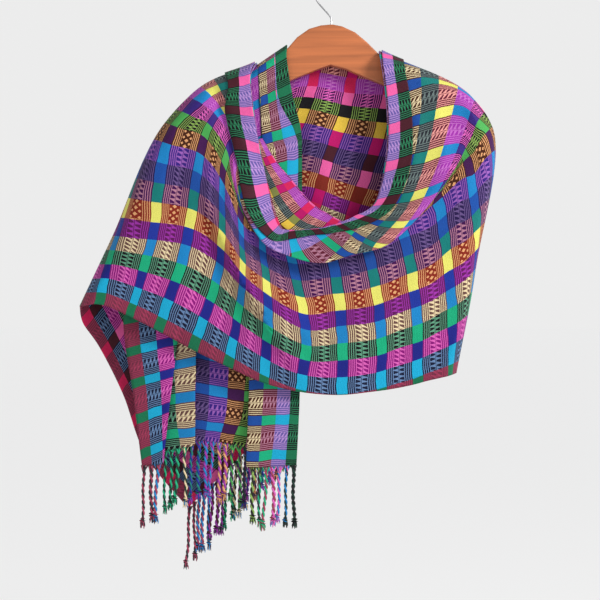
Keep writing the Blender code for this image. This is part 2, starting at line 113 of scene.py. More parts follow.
# The fringe: loose threads at the root, twist, knot and tuft. Shapes are shares of a radius from
# the upper end to the lower one.
ROOT_THREADS = 7
ROOT_LENGTH = 0.014
ROOT_OVERLAP = 0.0012
ROOT_SWAY = 0.0012
ROOT_RADIUS = 0.0007
ROOT_SHAPE = (1.0, 1.2, 1.1, 1.0, 0.9, 0.5)
TWIST_RINGS = 30
KNOT_RINGS = 15
TUFT_THREADS = 11
TUFT_SHAPE = (0.30, 0.34, 0.34, 0.28, 0.14)
NEIGHBOUR_YARN = 0.6
HEM_STEP = 0.0005
LAST_STRAND = 0.985

# Yarns of the cloth, as sRGB hex colours
YARNS = {
    "black": "100E14", "charcoal": "262A32", "midnight": "141A38", "bottle green": "0C3428",
    "green": "107850", "sea green": "2C8058", "emerald": "10B480", "leaf": "4CAE54", "lime": "90B458",
    "olive": "8C9048", "teal": "08807A", "seafoam": "64A484", "cyan": "10B0DC", "sky": "1488CC",
    "blue": "1450A8", "navy": "18208A", "royal": "1832A0", "steel": "6C8CB8", "slate": "70807E",
    "indigo": "382080", "dusk": "6C548C", "violet": "6C5CA8", "lilac": "BC94D8", "orchid": "CC70CC",
    "purple": "A434AC", "plum": "440C50", "mauve": "BC8098", "pink": "F864AC", "candy": "E868C0",
    "magenta": "C8006C", "crimson": "A83C5C", "rose": "E01C5C", "wine": "681C34", "maroon": "481020",
    "brown": "4C2410", "rust": "8C2818", "cream": "F0DAAE", "yellow": "F0EC70", "gold": "F4CC48",
    "orange": "EBAA74", "salmon": "F4A49C", "fuchsia": "90147C", "grape": "64145C", "umber": "6C4A44",
    "berry": "7C3048", "night": "26164C", "amethyst": "9C60B8",
}
# The weaver's chart, from the neck edge to the hem: solid block, light line and dark line on the
# right side, solid block on the reverse, then the two plies of the fringe.
BLOCK, LIGHT_LINE, DARK_LINE, REVERSE_BLOCK, FIRST_PLY, SECOND_PLY = range(6)
STRIPES = (
    ("green", "sea green", "black", "maroon", "bottle green", "black"),
    ("cyan", "lilac", "violet", "pink", "candy", "sky"),
    ("emerald", "mauve", "wine", "rose", "emerald", "crimson"),
    ("blue", "cream", "brown", "gold", "lime", "charcoal"),
    ("teal", "slate", "charcoal", "olive", "olive", "black"),
    ("yellow", "salmon", "wine", "magenta", "lime", "bottle green"),
    ("sky", "orchid", "purple", "rose", "purple", "indigo"),
    ("indigo", "candy", "plum", "pink", "plum", "navy"),
    ("leaf", "lime", "black", "black", "leaf", "bottle green"),
    ("plum", "orange", "brown", "gold", "orange", "plum"),
    ("sky", "amethyst", "indigo", "magenta", "sky", "purple"),
    ("blue", "dusk", "night", "maroon", "royal", "purple"),
    ("teal", "mauve", "plum", "pink", "mauve", "teal"),
    ("yellow", "orange", "rust", "rust", "orange", "plum"),
    ("royal", "purple", "grape", "magenta", "purple", "indigo"),
    ("sky", "cream", "umber", "rose", "cream", "sky"),
    ("emerald", "seafoam", "black", "wine", "emerald", "bottle green"),
    ("navy", "candy", "fuchsia", "pink", "purple", "bottle green"),
    ("cyan", "steel", "midnight", "maroon", "sky", "maroon"),
    ("green", "crimson", "berry", "rose", "charcoal", "crimson"),
)
FACE_TONE = 0.76
REVERSE_TONE = 0.76

# Front wrap: sections from the left arm round the cowl to the right arm. Each station has its
# place, its stripe and its turn. Middle stations lie on stripe 15. Where the hem rolls under,
# its last stripe shows only in part.
FRONT_STATIONS = (0.0, 0.30, 0.35, 0.40, 0.70, 1.0)
FRONT_DEPTHS = (-27.0, -31.0, -33.0, -34.0, -38.0, -33.0)
RIDGE_DEPTHS = (0.0, -20.0, -5.0, -3.0, 0.0, 0.0)
RIDGE_LIFT = 6.0
MIDDLE_STRIPE = 15.0
HEM_STRIPES = (20.0, 19.9, 19.8, 19.8, 19.7, 19.5, 19.2, 19.1, 19.15, 19.3, 19.4, 19.5, 19.55, 19.6,
               19.6)
FRONT_SECTIONS = (
    # ridge, neck x z stripe turn, crest x z stripe turn, out x z stripe turn, middle x z turn, hem x z turn
    (0, 257, 63, 2, 0.5, 189, 97, 7, 0.9, 166, 122, 9, 0.75, 113, 236, 0.04, 80, 306, -0.55),
    (0, 251, 77, 2, 0.95, 203, 104, 7, 1.15, 183, 128, 9, 1.3, 133, 238, 0.5, 106, 306, 0.2),
    (0, 254, 112, 2, 2, 213, 118, 7.4, 2, 205, 136, 9, 2, 186, 245, 2, 158, 331, 2),
    (0.1, 260, 149, 2, 3, 229, 149, 7.7, 3, 224, 165, 9, 3, 220, 264, 3, 193, 350, 3),
    (0.4, 269, 189, 2, 4, 244, 208, 3, 4.35, 241, 211, 9.2, 4, 242, 286, 4, 228, 367, 4),
    (0.8, 280, 226, 0.3, 5.2, 262, 240, 1.3, 5.2, 262, 241, 10.3, 5, 268, 308, 5, 264, 383, 5),
    (1, 292, 231, 0.9, 6, 288, 253, 2, 5.8, 290, 253, 10.4, 6, 306, 330, 6, 301, 392, 6),
    (1, 306, 230, 1.2, 6.7, 322, 261, 2.9, 6.3, 325, 261, 11, 6.8, 341, 326, 7, 338, 395, 6.9),
    (1, 327, 227, 1.5, 7.5, 353, 253, 3.8, 7, 357, 253, 10.9, 7.7, 375, 322, 7.87, 370, 392, 7.7),
    (0.9, 351, 218, 1.9, 8.8, 390, 242, 5.9, 8.1, 393, 241, 10.9, 8.7, 401, 312, 8.6, 392, 389, 8.3),
    (0.7, 374, 204, 2, 10, 426, 208, 6.9, 9.35, 430, 207, 10, 9.8, 427, 303, 9.3, 412, 385, 8.85),
    (0.4, 384, 168, 2, 11, 455, 166, 7.4, 10.5, 460, 169, 9.5, 10.75, 444, 293, 9.8, 427, 381, 9.25),
    (0.1, 387, 130, 2, 12, 466, 131, 7.1, 11.55, 474, 150, 9, 11.35, 459, 284, 10.25, 440, 378, 9.6),
    (0, 385, 92, 2, 13, 471, 109, 7, 12.2, 483, 134, 9, 11.8, 467, 278, 10.5, 448, 376, 9.85),
    (0, 379, 51, 2, 14, 474, 100, 7, 12.5, 491, 125, 9, 12.05, 475.5, 268, 10.75, 456, 373, 10.1),
)
# Share of each section, from the neck edge, that the turned-over band covers, its stripes, the
# share where it starts, and the places beside a section that show which way the front faces.
BAND_SHARES = (0.14, 0.15, 0.19, 0.24, 0.26, 0.17, 0.085, 0.05, 0.06, 0.08, 0.10, 0.098, 0.087, 0.078,
               0.07)
BAND_STRIPES = (2.0, 2.0, 2.0, 2.0, 2.1, 2.4, 1.2, 1.1, 1.2, 1.5, 1.8, 2.0, 2.0, 2.0, 2.0)
BAND_START = 0.006
BAND_NEARBY = (-0.02, 0.0, 0.02)

# Back panel: sections from the right arm to the left arm. Stations: upper edge, two on the way,
# middle and hem, each with its place, stripe and turn.
BACK_STATIONS = (0.0, 0.28, 0.38, 0.70, 1.0)
BACK_DEPTH = 16.0
BACK_WAVE = 0.16
BACK_STRIPES = (7.0, 9.0, 15.0, 20.0)
BACK_SECTIONS = (
    # upper x z stripe turn, second x z turn, third x z turn, middle x z turn, hem x z turn
    (379, 51, 2, 14, 474, 100, 12.5, 491, 125, 12.05, 475.5, 268, 10.75, 456, 373, 10.1),
    (378, 58, 2.5, 14.6, 452, 104, 13.2, 470, 133, 12.7, 460, 264, 11.3, 441, 366, 10.6),
    (368, 50, 3.2, 15.5, 410, 96, 14.4, 420, 125, 14, 425, 240, 12.9, 412, 352, 12),
    (350, 44, 3.8, 16.2, 351, 93, 15.95, 352, 118, 15.8, 355, 218, 14.9, 360, 325, 13.8),
    (312, 41, 3.8, 17.2, 312, 86, 17, 309, 108, 16.9, 316, 203, 16, 318, 300, 14.8),
    (288, 51, 3.8, 18, 270, 88, 18.1, 264, 104, 18.1, 262, 185, 17.4, 262, 262, 16.4),
    (287, 45, 3.8, 18.2, 262, 62, 18.8, 252, 69, 19, 215, 94, 19.6, 176, 121, 20.2),
)

# First end: sections from the left arm down to the fringed hem, in overlapping knife pleats. The
# hidden stations lie inside the pleats.
END_STATIONS = (0.0, 0.05, 0.10, 0.20, 0.30, 0.40, 0.58, 0.63, 0.68, 0.82, 0.86, 0.90, 1.0)
END_DEPTHS = (0.0, -1.0, -2.0, -1.5, 4.5, 8.0, 8.0, 4.5, -1.0, 6.0, 3.5, -1.0, 3.0)
END_CRINKLE = 0.7
END_TUCKS = (0.0, 0.0, 0.0, 0.0, 5.0, 0.0, -5.5, -4.0, 0.0, -4.0, -2.0, 0.0, 0.0)
# How far the hem rises at each station, and how the turn lags where the weave slants.
HEM_RISES = (0.0, 1.0, 2.0, 1.5, -10.0, -18.0, -25.0, -24.0, -21.0, -12.0, -8.0, -3.0, 0.0)
SLANT_TURNS = (0.0, 0.0, 0.0, -0.03, -0.20, -0.37, -0.10, -0.20, -0.34, -0.48, -0.56, -0.66, -1.0)
FIRST_END_SECTIONS = (
    # x at stripe 0, 1, 2, 4, middle pleat x stripe, x at 12, left pleat x stripe, last pleat x stripe
    # and stripe, x at 20, z at 0, z at 20, depth, pleats, turn, slant
    (287, 275.5, 275, 258, 236, 8, 214, 199, 15, 190, 16.5, 17, 176, 45, 121, -11.5, 0, -9.2, 0),
    (287, 275.5, 275, 259, 236, 8, 213, 198, 15, 189, 16.5, 17, 173, 60, 128, -11.5, 0.1, -8.8, 0),
    (292.5, 279, 277, 261, 236, 8, 211, 196, 15, 186, 16.5, 17, 167, 95, 150, -12, 0.2, -7.8, 0),
    (301, 295, 283, 263, 237, 8, 209, 196, 15, 183, 16.4, 17, 160, 130, 175, -12.5, 0.3, -6.95, 0),
    (302, 298.5, 287.5, 266, 240, 8, 207, 196, 15, 180, 16.3, 16.9, 152, 165, 200, -13, 0.4, -6, 0),
    (302, 294, 281, 253, 248, 9, 196, 196, 15, 180, 15.75, 16.6, 124, 300, 306, -17, 1, -2.4, 1),
    (299.6, 290.5, 277.5, 250, 247, 8.9, 195, 195, 15, 169.5, 16.55, 17.5, 134, 400, 400, -18, 1, 0.46, 1),
    (296.5, 285.5, 271, 247, 245.5, 8.1, 195, 194.7, 15.4, 163, 17, 18, 142, 465, 466, -15, 1, 2.30, 1),
)

# Second end: sections from the left silhouette round behind, down to the slanting fringed hem.
SECOND_STATIONS = (0.0, 0.28, 0.38, 0.72, 1.0)
SECOND_STRIPES = (2.0, 7.0, 9.0, 15.0, 20.0)
SECOND_DEPTH = 28.0
SECOND_WAVE = 0.14
SECOND_SECTIONS = (
    # upper x z turn, second x z turn, third x z turn, fourth x z turn, free edge x z turn
    (257, 63, 0.5, 189, 97, 0.9, 166, 122, 0.75, 113, 236, 0.04, 80, 306, -0.55),
    (262, 100, -0.5, 212, 134, -0.2, 188, 160, -0.5, 124, 262, -0.8, 83, 323, -1),
    (270, 150, -1.9, 226, 190, -1.8, 205, 215, -2, 139, 305, -2, 100, 348, -1.8),
    (280, 220, -3.8, 244, 262, -3.8, 226, 284, -3.9, 163, 360, -3.7, 123, 394, -3.2),
    (292, 305, -5.6, 266, 343, -5.7, 250, 362, -5.8, 195, 425, -5.6, 146, 456, -5),
    (298, 396, -7.1, 286, 412, -7.1, 279, 419, -7.1, 246, 451, -7.1, 188, 508, -7.1),
)

# Inner fold: sections along the neck, from its ridge to its hidden lower edge.
FOLD_SECTIONS = (
    # ridge x z, lower x z, turn
    (262, 138, 252, 142, 2.2),
    (276, 161, 256, 168, 3.1),
    (291, 179, 262, 190, 3.8),
    (301, 191, 270, 210, 4.4),
    (313, 204, 284, 228, 5),
    (327, 213, 303, 236, 5.6),
    (342, 221, 328, 236, 6.2),
    (358, 223, 350, 233, 6.7),
)
FOLD_STATIONS = (0.0, 0.5, 1.0)
FOLD_DEPTHS = (-16.5, -19.5, -21.5)
FOLD_STRIPES = (7.2, 5.2, 3.0)

# Folds: a bow through three places, with height and width in millimetres, and how much sharper
# the left or upper side is.
FRONT_FOLDS = (
    # start x z, middle x z, end x z, height, width, left sharpness
    (206, 196, 236, 270, 288, 356, 15, 46, 6),
    (474, 205, 410, 292, 300, 350, 4, 26, 1),
    (462, 300, 405, 345, 335, 374, 3, 22, 1),
    (166, 150, 152, 215, 118, 292, 4, 24, 1),
    (195, 130, 190, 225, 160, 320, 3, 22, 1.5),
    (480, 120, 470, 200, 455, 290, 3, 16, 1),
)
FRONT_CREASES = (
    (213, 80, 222, 115, 240, 180, -7, 9, 1),
    (232, 92, 222, 118, 216, 160, 1.6, 7, 1),
    (240, 150, 232, 172, 226, 205, 2, 7, 2),
    (262, 262, 290, 300, 330, 330, 1.4, 10, 1),
    (310, 275, 360, 280, 410, 258, 1.6, 11, 1),
    (330, 300, 385, 300, 440, 262, 1.4, 12, 1),
    (300, 345, 355, 360, 420, 345, 1.2, 10, 1),
    (436, 110, 444, 150, 432, 190, 1.6, 9, 1),
    (410, 90, 418, 130, 412, 175, 1.3, 8, 1),
    (458, 100, 476, 120, 484, 150, 1.5, 8, 1),
    (180, 110, 170, 150, 160, 190, 1.5, 8, 1),
    (150, 200, 140, 240, 120, 280, 1.2, 8, 1),
    (210, 230, 205, 280, 185, 335, 1.4, 9, 1),
    (245, 290, 250, 330, 235, 365, 1.2, 8, 1),
    (395, 218, 410, 212, 424, 200, 1.2, 6, 1),
    (300, 246, 330, 250, 360, 242, 1.2, 5, 1),
)
# Folds of the hidden stretches, like those in front
BACK_FOLDS = (
    (478, 110, 440, 190, 360, 300, 3, 16, 2),
    (470, 220, 420, 270, 350, 315, 2.4, 14, 1),
    (462, 290, 425, 325, 380, 335, 2, 12, 1),
    (395, 60, 392, 130, 372, 210, 2.2, 13, 1.5),
    (350, 50, 345, 120, 330, 230, 2.6, 15, 1),
    (312, 50, 300, 140, 286, 235, 2.2, 12, 1),
    (455, 130, 452, 180, 446, 240, 1.6, 9, 1),
    (330, 240, 322, 262, 318, 290, 1.4, 9, 1),
)
SECOND_FOLDS = (
    (236, 100, 190, 220, 168, 360, 3.2, 17, 1),
    (255, 110, 240, 230, 226, 400, 2.6, 14, 1.5),
    (150, 190, 128, 260, 118, 350, 2.4, 13, 1),
    (275, 230, 262, 330, 246, 440, 2.2, 12, 1),
    (190, 350, 186, 410, 196, 470, 1.8, 10, 1),
)

# Part of a turn of weave that the cloth spends on going round behind at the right and left
# silhouettes, with the rest of that turn in front, and on each side of the left arm.
RIGHT_BACK_TURN = 0.35
LEFT_BACK_TURN = 0.48
ARM_TURN = 0.26


def linear(hex_colour):
    """Scene-linear RGBA of an sRGB hex colour."""
    parts = []
    for start in (0, 2, 4):
        value = int(hex_colour[start:start + 2], 16) / 255.0
        parts.append(value / 12.92 if value <= 0.04045 else ((value + 0.055) / 1.055) ** 2.4)
    return (*parts, 1.0)


def place(grid, depth):
    """World points of grid places at a depth in metres, as the eye in front of the grid sees them."""
    nearness = (EYE_DISTANCE + depth) / EYE_DISTANCE
    x = GRID_CENTRE_X + (grid[..., 0] - GRID_MIDDLE) * GRID_STEP * nearness
    z = GRID_CENTRE_Z - (grid[..., 1] - GRID_MIDDLE) * GRID_STEP * nearness
    return np.stack([x, np.broadcast_to(depth, x.shape), z], axis=-1)


def smooth_curve(knots, values, samples, steady=False):
    """Values at samples on a smooth curve through values at knots; a steady one never overshoots."""
    knots = np.asarray(knots, dtype=float)
    values = np.asarray(values, dtype=float)
    shape = (-1,) + (1,) * (values.ndim - 1)
    spans = np.diff(knots).reshape(shape)
    steps = np.diff(values, axis=0) / spans
    slopes = np.empty_like(values)
    slopes[0] = steps[0]
    slopes[-1] = steps[-1]
    if steady:
        product = steps[:-1] * steps[1:]
        total = np.where(product > 0.0, steps[:-1] + steps[1:], 1.0)
        slopes[1:-1] = np.where(product > 0.0, 2.0 * product / total, 0.0)
    else:
        slopes[1:-1] = (steps[:-1] * spans[1:] + steps[1:] * spans[:-1]) / (spans[1:] + spans[:-1])
    index = np.clip(np.searchsorted(knots, samples, side="right") - 1, 0, len(knots) - 2)
    span = knots[index + 1] - knots[index]
    part = ((samples - knots[index]) / span).reshape(shape)
    span = span.reshape(shape)
    start = (1 + 2 * part) * (1 - part) ** 2 * values[index]
    start_slope = part * (1 - part) ** 2 * span * slopes[index]
    end = part ** 2 * (3 - 2 * part) * values[index + 1]
    end_slope = part ** 2 * (part - 1) * span * slopes[index + 1]
    return start + start_slope + end + end_slope


def spread(section_count, per_section, end_steps):
    """Sample places along the sections, closer together at both ends, where cloth turns."""
    inner = [(step / end_steps) ** END_CROWDING for step in range(end_steps + 1)]
    middle = np.linspace(1.0, section_count - 2.0, (section_count - 3) * per_section + 1)[1:-1]
    last = [section_count - 1.0 - value for value in reversed(inner)]
    return np.array(inner + list(middle) + last)


def stretches(*parts):
    """Net lines in stretches, each with its start, its end and its count."""
    return np.concatenate([np.linspace(*part) for part in parts])


def loft(sections, stations, along, across):
    """Values (along, across, columns) through a table of sections. Between two stations the weave
    keeps pace with the distance gone from one to the other."""
    knots = np.arange(len(sections))
    stations = np.asarray(stations)
    lengthwise = smooth_curve(knots, sections, along)
    woven = smooth_curve(knots, sections, along, steady=True)
    grid = np.swapaxes(smooth_curve(stations, np.swapaxes(lengthwise, 0, 1), across), 0, 1)
    index = np.clip(np.searchsorted(stations, across, side="right") - 1, 0, len(stations) - 2)
    first = lengthwise[:, index, 0:2]
    chord = lengthwise[:, index + 1, 0:2] - first
    length = np.sum(chord ** 2, axis=-1)
    gone = np.sum((grid[..., 0:2] - first) * chord, axis=-1) / np.maximum(length, SHORTEST_CHORD)
    counted = (across - stations[index]) / (stations[index + 1] - stations[index])
    share = np.where(length > SHORTEST_CHORD, np.clip(gone, 0.0, 1.0), counted)[..., None]
    grid[..., 2:4] = woven[:, index, 2:4] * (1.0 - share) + woven[:, index + 1, 2:4] * share
    return grid


def with_stripes(places, stripes):
    """Sections of stations (x, z, stripe, turn) from rows of x, z and turn for each stripe."""
    places = np.reshape(places, (len(places), len(stripes), 3))
    counted = np.broadcast_to(stripes, places.shape[:2])
    return np.stack([places[..., 0], places[..., 1], counted, places[..., 2]], axis=-1)


def turned_from(which, grid, sections, stations, across, radius):
    """0 at the first or last section, 1 once the cloth has turned a quarter round with this radius."""
    edge = smooth_curve(stations, sections[which], across)
    distance = np.hypot(grid[..., 0] - edge[:, 0], grid[..., 1] - edge[:, 1]) * GRID_STEP
    part = 1.0 - np.clip(distance / radius, 0.0, 1.0)
    return np.sqrt(1.0 - part ** 2)


def bow(start, middle, end, share):
    """Places along a bow through three places."""
    control = 2 * middle - 0.5 * (start + end)
    return (1 - share) ** 2 * start + 2 * share * (1 - share) * control + share ** 2 * end


def fold_height(grid, folds):
    """Height in metres of the folds at grid places."""
    total = np.zeros(grid.shape[:2])
    share = np.linspace(0.0, 1.0, FOLD_POINTS)
    for x0, z0, x1, z1, x2, z2, height, width, sharpness in folds:
        away_x = grid[..., 0:1] - bow(x0, x1, x2, share)
        away_z = grid[..., 1:2] - bow(z0, z1, z2, share)
        distances = np.hypot(away_x, away_z)
        nearest = np.argmin(distances, axis=-1)[..., None]
        distance = np.take_along_axis(distances, nearest, axis=-1)[..., 0]
        side = np.take_along_axis(away_x, nearest, axis=-1)[..., 0]
        taper = np.sin(np.pi * (share[nearest[..., 0]] * 0.9 + 0.05)) ** 0.7
        reach = np.where(side < 0.0, width / sharpness, width) * MILLIMETRE / GRID_STEP
        total += height * MILLIMETRE * taper * np.exp(-(distance / reach) ** 2)
    return total


def crinkle(grid):
    """Small uneven puckers of handwoven cloth, in metres, from a sum of waves."""
    stripe, turn = grid[..., 2], grid[..., 3]
    total = np.sin(2.1 * stripe + 1.3 * np.sin(1.7 * turn)) * np.sin(1.9 * turn + 0.8)
    total += 0.6 * np.sin(5.3 * turn + 1.1 * stripe) * np.sin(0.9 * stripe + 2.0)
    total += 0.4 * np.sin(9.1 * turn - 2.3 * stripe + 1.0)
    total += 0.3 * np.sin(WEAVE_WAVE * turn) + 0.25 * np.sin(WEAVE_WAVE * stripe)
    return total * bpy.context.scene.shawl_cloth.crinkle


def front_surface(along, across):
    """Points and weave places of the front wrap."""
    table = np.array(FRONT_SECTIONS, dtype=float)
    count = len(table)
    ridge, crest, out = table[:, 0:1], table[:, 5:9], table[:, 9:13]
    tuck = 0.5 * (crest + out)
    tuck[:, 1:2] -= RIDGE_LIFT * ridge
    middle = np.column_stack([table[:, 13:15], np.full(count, MIDDLE_STRIPE), table[:, 15]])
    hem = np.column_stack([table[:, 16:18], HEM_STRIPES, table[:, 18]])
    sections = np.stack([table[:, 1:5], crest, tuck, out, middle, hem], axis=1)
    depths = np.array(FRONT_DEPTHS) + ridge * np.array(RIDGE_DEPTHS)
    grid = loft(np.concatenate([sections, depths[..., None]], axis=-1), FRONT_STATIONS, along, across)
    left = turned_from(0, grid, sections, FRONT_STATIONS, across, SILHOUETTE_ROUND)
    right = turned_from(-1, grid, sections, FRONT_STATIONS, across, SILHOUETTE_ROUND)
    folds = fold_height(grid, FRONT_FOLDS + FRONT_CREASES) + crinkle(grid)
    depth = (grid[..., 4] * MILLIMETRE - folds) * left * right - 0.5 * SEAM_GAP
    grid[..., 3] += (1.0 - RIGHT_BACK_TURN) * (1.0 - right) - (1.0 - LEFT_BACK_TURN) * (1.0 - left)
    return place(grid, depth), grid[..., 2:4]


def back_surface(along, across):
    """Points and weave places of the back panel, from the right silhouette to the left arm."""
    table = np.array(BACK_SECTIONS, dtype=float)
    sections = np.concatenate([table[:, None, 0:4], with_stripes(table[:, 4:], BACK_STRIPES)], axis=1)
    grid = loft(sections, BACK_STATIONS, along, across)
    right = turned_from(0, grid, sections, BACK_STATIONS, across, SILHOUETTE_ROUND)
    left = turned_from(-1, grid, sections, BACK_STATIONS, across, ARM_ROUND)
    wave = BACK_WAVE * np.sin(grid[..., 0] * 0.052) * np.sin(0.6 * np.pi * across)
    depth = BACK_DEPTH * MILLIMETRE * (1.0 + wave) + crinkle(grid) + fold_height(grid, BACK_FOLDS)
    grid[..., 3] += ARM_TURN * (1.0 - left) - RIGHT_BACK_TURN * (1.0 - right)
    return place(grid, depth * right * left + 0.5 * SEAM_GAP), grid[..., 2:4]


def first_end_surface(along, across):
    """Points and weave places of the first end, from the arm down to the hem."""
    sections = []
    for row in FIRST_END_SECTIONS:
        x0, x1, x2, x4, middle, middle_stripe, x12, left, left_stripe = row[0:9]
        last, under_stripe, over_stripe, x20, z0, z20, depth, pleats, turn, slant = row[9:19]
        places = (x0, x1, x2, x4, x4, middle, x12, left, left, last, last, last, x20)
        stripes = (0.0, 1.0, 2.0, 4.0, 0.5 * (4.0 + middle_stripe), middle_stripe, 12.1, 13.5,
                   left_stripe, under_stripe, 0.5 * (under_stripe + over_stripe), over_stripe, 20.0)
        section = []
        for index, x in enumerate(places):
            rise = HEM_RISES[index] if row is FIRST_END_SECTIONS[-1] else 0.0
            section.append((x + END_TUCKS[index] * pleats,
                            z0 + (z20 - z0) * (x0 - x) / (x0 - x20) + rise, stripes[index],
                            turn + SLANT_TURNS[index] * slant + rise * GRID_STEP / TURN_LENGTH,
                            depth + END_DEPTHS[index] * pleats))
        sections.append(section)
    sections = np.array(sections)
    grid = loft(sections, END_STATIONS, along, across)
    turned = turned_from(0, grid, sections, END_STATIONS, across, ARM_ROUND)
    depth = (grid[..., 4] * MILLIMETRE + END_CRINKLE * crinkle(grid)) * turned
    grid[..., 3] -= ARM_TURN * (1.0 - turned)
    return place(grid, depth - 0.5 * SEAM_GAP), grid[..., 2:4]


def second_end_surface(along, across):
    """Points and weave places of the second end, from the left silhouette to its hem."""
    sections = with_stripes(SECOND_SECTIONS, SECOND_STRIPES)
    grid = loft(sections, SECOND_STATIONS, along, across)
    turned = turned_from(0, grid, sections, SECOND_STATIONS, across, SILHOUETTE_ROUND)
    wave = SECOND_WAVE * np.sin(grid[..., 0] * 0.07 + grid[..., 1] * 0.02)
    depth = SECOND_DEPTH * MILLIMETRE * (1.0 + wave) + crinkle(grid) + fold_height(grid, SECOND_FOLDS)
    grid[..., 3] += LEFT_BACK_TURN * (1.0 - turned)
    return place(grid, depth * turned + 0.5 * SEAM_GAP), grid[..., 2:4]


def inner_fold_surface(along, across):
    """Points and weave places of the inner fold, from its ridge to its hidden edge."""
    table = np.array(FOLD_SECTIONS, dtype=float)
    ridge, lower, turn = table[:, 0:2], table[:, 2:4], table[:, 4]
    sections = np.stack([ridge, 0.5 * (ridge + lower), lower], axis=1)
    turns = np.repeat(turn[:, None, None], 3, axis=1)
    grid = loft(np.concatenate([sections, turns], axis=-1), FOLD_STATIONS, along, across)
    depth = smooth_curve(FOLD_STATIONS, FOLD_DEPTHS, across) * MILLIMETRE
    stripe = smooth_curve(FOLD_STATIONS, FOLD_STRIPES, across)
    return place(grid, depth), np.stack([np.broadcast_to(stripe, grid.shape[:2]), grid[..., 2]], axis=-1)


def collar_surface(along, rows):
    """Points and weave places of the turned-over band, made from the front wrap and moved out."""
    knots = np.arange(len(BAND_SHARES))
    lift = bpy.context.scene.shawl_cloth.wall + 2.0 * SEAM_GAP
    points = []
    weave = []
    for at, share, stripe in zip(along, smooth_curve(knots, BAND_SHARES, along),
                                 smooth_curve(knots, BAND_STRIPES, along)):
        across = np.linspace(BAND_START, share, rows)
        nearby = np.clip(at + np.array(BAND_NEARBY), 0.0, len(FRONT_SECTIONS) - 1.0)
        net, places = front_surface(nearby, across)
        normal = np.cross(np.gradient(net, axis=0)[1], np.gradient(net, axis=1)[1])
        normal *= np.where(normal[:, 1:2] > 0.0, -1.0, 1.0)
        points.append(net[1] + normal / np.linalg.norm(normal, axis=-1, keepdims=True) * lift)
        counted = stripe * (1.0 - (across - BAND_START) / (share - BAND_START))
        weave.append(np.column_stack([counted, places[1, :, 1]]))
    return np.array(points), np.array(weave)


def new_piece(name, net, materials, node):
    """A piece at the origin from a net, which rides on the root body and stands for a node."""
    mesh = bpy.data.meshes.new(name)
    net.to_mesh(mesh)
    net.free()
    for made in materials:
        mesh.materials.append(made)
    piece = bpy.data.objects.new(name, mesh)
    bpy.context.scene.collection.objects.link(piece)
    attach(piece, "root")
    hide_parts(node)
    return piece


def cloth_piece(name, surface, node, slot):
    """A thin shell on a net of points, with the side towards the viewer that its slot names."""
    points, weave = surface
    count_along, count_across = points.shape[:2]
    net = bmesh.new()
    bmesh.ops.create_grid(net, x_segments=count_across - 1, y_segments=count_along - 1, size=1.0)
    for vertex, point in zip(net.verts, points.reshape(-1, 3)):
        vertex.co = point
    net.normal_update()
    if sum(face.normal.y * face.calc_area() for face in net.faces) > 0.0:
        bmesh.ops.reverse_faces(net, faces=net.faces)
    layer = net.loops.layers.uv.new("weave")
    places = weave.reshape(-1, 2)
    for face in net.faces:
        face.smooth = True
        for loop in face.loops:
            stripe, turn = places[loop.vert.index]
            loop[layer].uv = (turn, stripe)
    sides = [shared_material("handwoven right side", weave_material, BLOCK, FACE_TONE),
             shared_material("handwoven reverse side", weave_material, REVERSE_BLOCK, REVERSE_TONE)]
    if slot == "cloth_reverse":
        sides.reverse()
    piece = new_piece(name, net, sides, node)
    wall = piece.modifiers.new("Wall", "SOLIDIFY")
    wall.thickness = bpy.context.scene.shawl_cloth.wall
    wall.offset = 0.0
    wall.material_offset = 1
    wall.material_offset_rim = 0
    return piece


def feed(socket, value):
    """Feeds a socket from another one or from a term, or sets it to a number or colour."""
    if isinstance(value, Term):
        value = value.socket
    if isinstance(value, bpy.types.NodeSocket):
        socket.id_data.links.new(value, socket)
    else:
        socket.default_value = value


def feed_all(node, values):
    """Feeds a node's sockets, each by its name or its place."""
    for key, value in values.items():
        feed(node.inputs[key], value)


def add_node(tree, kind, values=(), **settings):
    """A shader node with its settings and what its sockets are fed."""
    node = tree.nodes.new(kind)
    for key, value in settings.items():
        setattr(node, key, value)
    feed_all(node, dict(values))
    return node


class Term:
    """A number in a material's nodes, for use in plain sums."""

    def __init__(self, socket):
        self.socket = socket

    def math(self, operation, other=None, swapped=False):
        """The outcome of a Math node on this number, and on another one if there is one."""
        node = add_node(self.socket.id_data, "ShaderNodeMath", operation=operation)
        feed(node.inputs[1 if swapped else 0], self)
        if other is not None:
            feed(node.inputs[0 if swapped else 1], other)
        return Term(node.outputs[0])

    def __add__(self, other):
        return self.math("ADD", other)

    def __sub__(self, other):
        return self.math("SUBTRACT", other)

    def __rsub__(self, other):
        return self.math("SUBTRACT", other, swapped=True)

    def __mul__(self, other):
        return self.math("MULTIPLY", other)

    def __truediv__(self, other):
        return self.math("DIVIDE", other)

    def __lt__(self, other):
        return self.math("LESS_THAN", other)

    def __gt__(self, other):
        return self.math("GREATER_THAN", other)


def new_material(name):
    """A material with its tree of nodes and its shader."""
    made = bpy.data.materials.new(name)
    made.use_nodes = True
    return made, made.node_tree, made.node_tree.nodes["Principled BSDF"]


def shared_material(name, maker, *settings):
    """A material made once and used by several pieces."""
    found = bpy.data.materials.get(name)
    return found if found else maker(name, *settings)


def mixed(factor, first, second):
    """The colour between two colours, by a factor."""
    node = add_node(factor.socket.id_data, "ShaderNodeMix", {"Factor": factor, 6: first, 7: second},
                    data_type="RGBA")
    return node.outputs[2]


def tinted(colour, value):
    """A colour made lighter or darker by a number."""
    node = add_node(value.socket.id_data, "ShaderNodeHueSaturation", {"Value": value, "Color": colour})
    return node.outputs["Color"]


def bumped(height, strength, distance):
    """The normal of a surface with this height."""
    node = add_node(height.socket.id_data, "ShaderNodeBump",
                    {"Height": height, "Strength": strength, "Distance": distance})
    return node.outputs["Normal"]


